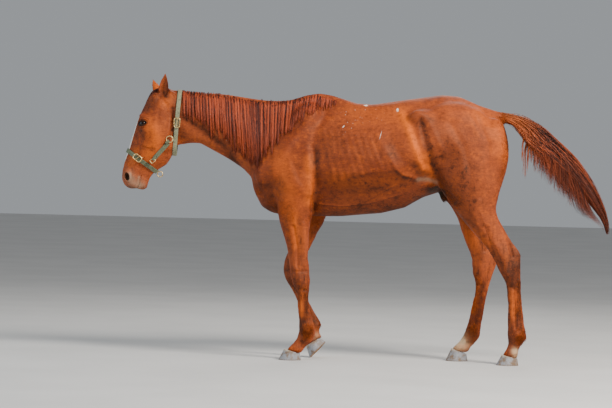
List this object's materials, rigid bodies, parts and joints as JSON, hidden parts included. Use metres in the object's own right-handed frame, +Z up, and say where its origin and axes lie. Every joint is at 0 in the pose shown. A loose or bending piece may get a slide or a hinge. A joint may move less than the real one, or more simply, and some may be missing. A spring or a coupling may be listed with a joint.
{
  "type": "horse",
  "caption": "Still, life-size chestnut riding horse at a stand, one fore foot tipped on its toe, in a webbing headcollar.",
  "frame": {"origin": "on the floor, under the middle of the model's bounding box", "axes": "+X towards the tail, the nose towards -X, the horse's left side towards -Y, +Z up"},
  "size_m": [2.8794, 0.5584, 1.6564],
  "materials": {
    "coat": "short, close chestnut coat with a soft sheen",
    "mane": "long dark red-brown hair",
    "hoof": "pale blue-grey horn with growth rings",
    "eye": "wet, dark brown eyeball",
    "webbing": "worn olive flat-weave webbing",
    "brass": "dulled brass"
  },
  "bodies": {
    "root": {"head": "coat", "neck": "coat", "trunk": "coat", "fore_leg_left": "coat", "fore_leg_right": "coat", "hind_leg_left": "coat", "hind_leg_right": "coat", "ear_left": "coat", "ear_right": "coat", "tail": "mane", "mane": "mane", "hoof_fore_left": "hoof", "hoof_fore_right": "hoof", "hoof_hind_left": "hoof", "hoof_hind_right": "hoof", "eye_left": "eye", "eye_right": "eye", "halter_crown": "webbing", "halter_noseband": "webbing", "halter_cheek_left": "webbing", "halter_cheek_right": "webbing", "halter_ring_left": "brass", "halter_ring_right": "brass", "halter_square_left": "brass", "halter_square_right": "brass", "halter_chin_ring": "brass", "halter_crown_buckle": "brass", "halter_nose_buckle": "brass"}
  },
  "joints": []
}
